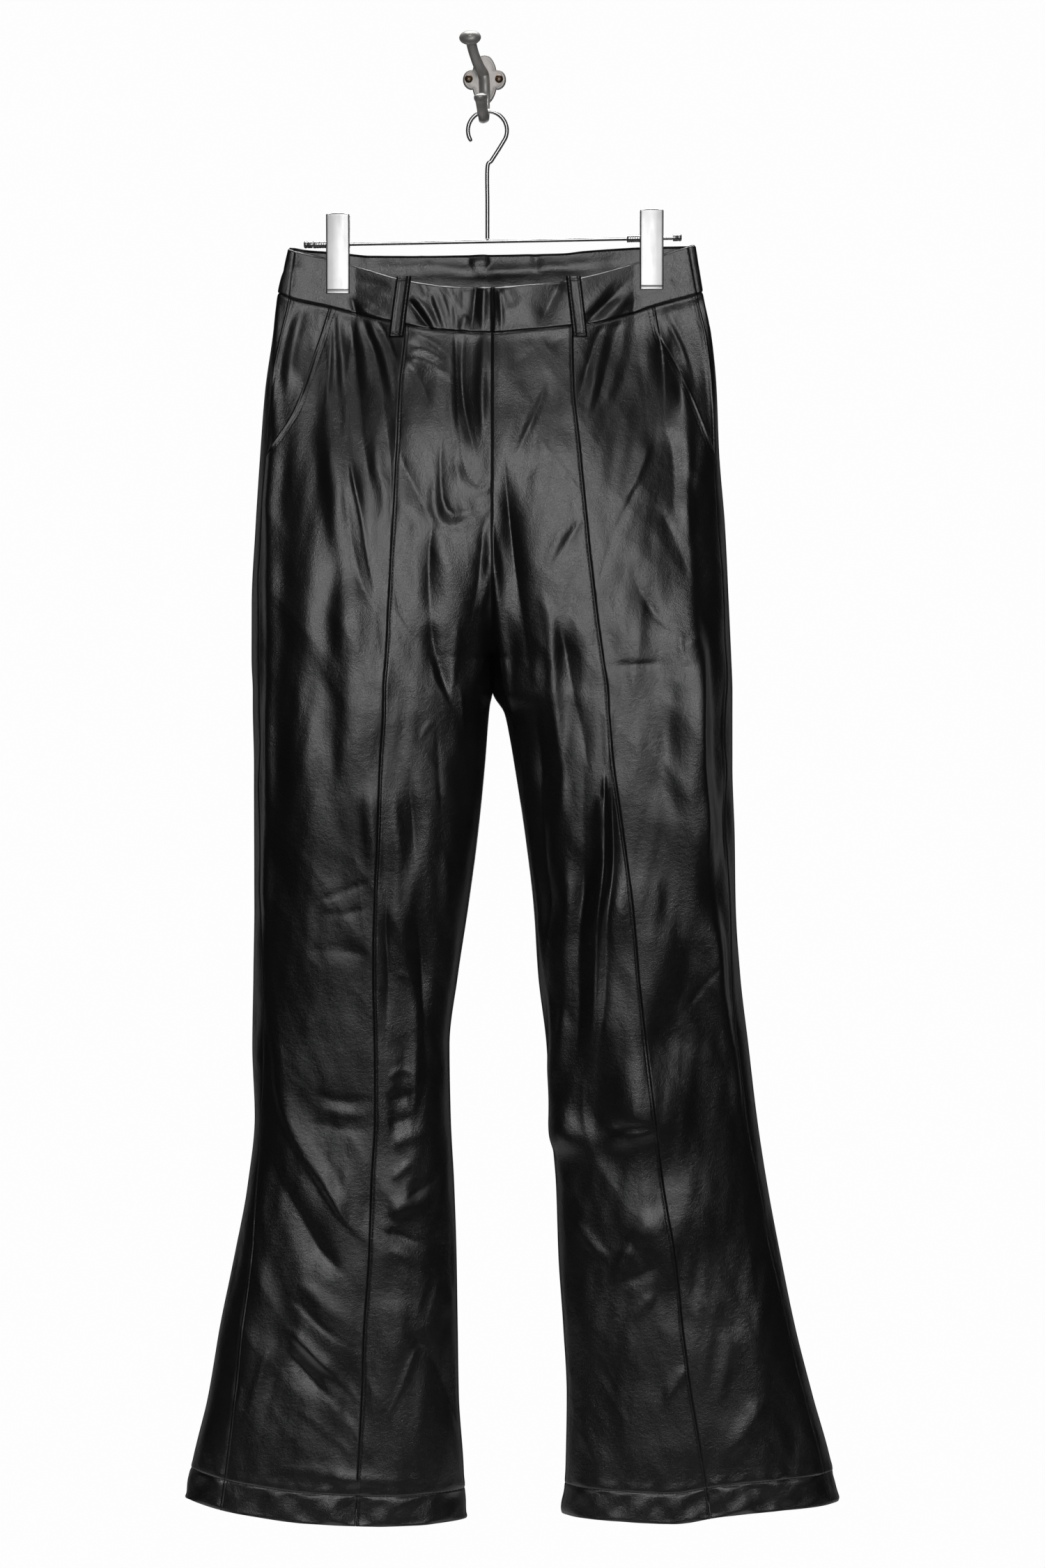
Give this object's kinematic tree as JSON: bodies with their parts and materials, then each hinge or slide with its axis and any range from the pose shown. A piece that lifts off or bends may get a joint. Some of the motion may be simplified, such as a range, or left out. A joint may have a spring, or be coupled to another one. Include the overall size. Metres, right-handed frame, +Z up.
{
  "type": "flared trousers on a clip hanger and wall hook",
  "caption": "Full-length flared trousers in coated cloth, clipped by the waistband to a metal hanger that hangs on a wall hook.",
  "frame": {"origin": "centre of the wall hook's flat back, on the wall", "axes": "+Z up, the wall is the plane Y = 0, the trousers' front faces -Y, the wearer's right is -X"},
  "size_m": [0.5486, 0.1004, 1.2577],
  "materials": {
    "faux_leather": "satin black coated cloth",
    "clip_steel": "satin",
    "cast_hook": "satin grey",
    "screw_bronze": "dull bronze"
  },
  "bodies": {
    "root": {"front_centre_right_1": "faux_leather", "front_centre_right_2": "faux_leather", "front_centre_right_3": "faux_leather", "front_centre_left_1": "faux_leather", "front_centre_left_2": "faux_leather", "front_centre_left_3": "faux_leather", "front_side_right_1": "faux_leather", "front_side_right_2": "faux_leather", "front_side_right_3": "faux_leather", "front_side_right_4": "faux_leather", "front_side_right_5": "faux_leather", "front_side_right_6": "faux_leather", "front_side_left_1": "faux_leather", "front_side_left_2": "faux_leather", "front_side_left_3": "faux_leather", "front_side_left_4": "faux_leather", "front_side_left_5": "faux_leather", "front_side_left_6": "faux_leather", "back_right_1": "faux_leather", "back_right_2": "faux_leather", "back_right_3": "faux_leather", "back_right_4": "faux_leather", "back_right_5": "faux_leather", "back_right_6": "faux_leather", "back_left_1": "faux_leather", "back_left_2": "faux_leather", "back_left_3": "faux_leather", "back_left_4": "faux_leather", "back_left_5": "faux_leather", "back_left_6": "faux_leather", "pocket_facing_right": "faux_leather", "pocket_facing_left": "faux_leather", "waistband_front_right": "faux_leather", "waistband_front_left": "faux_leather", "waistband_back": "faux_leather", "belt_loop_front_right": "faux_leather", "belt_loop_front_left": "faux_leather", "belt_loop_back_right": "faux_leather", "belt_loop_back_left": "faux_leather", "belt_loop_back_centre": "faux_leather", "fly_facing": "faux_leather", "hanger_bar": "clip_steel", "bar_cap_right": "clip_steel", "bar_cap_left": "clip_steel", "hanger_hook": "clip_steel", "clip_right_plate_front": "clip_steel", "clip_right_plate_back": "clip_steel", "clip_left_plate_front": "clip_steel", "clip_left_plate_back": "clip_steel", "clip_right_sleeve": "clip_steel", "clip_left_sleeve": "clip_steel", "wall_plate": "cast_hook", "wall_hook_prongs": "cast_hook", "screw_right": "screw_bronze", "screw_left": "screw_bronze"}
  },
  "joints": []
}
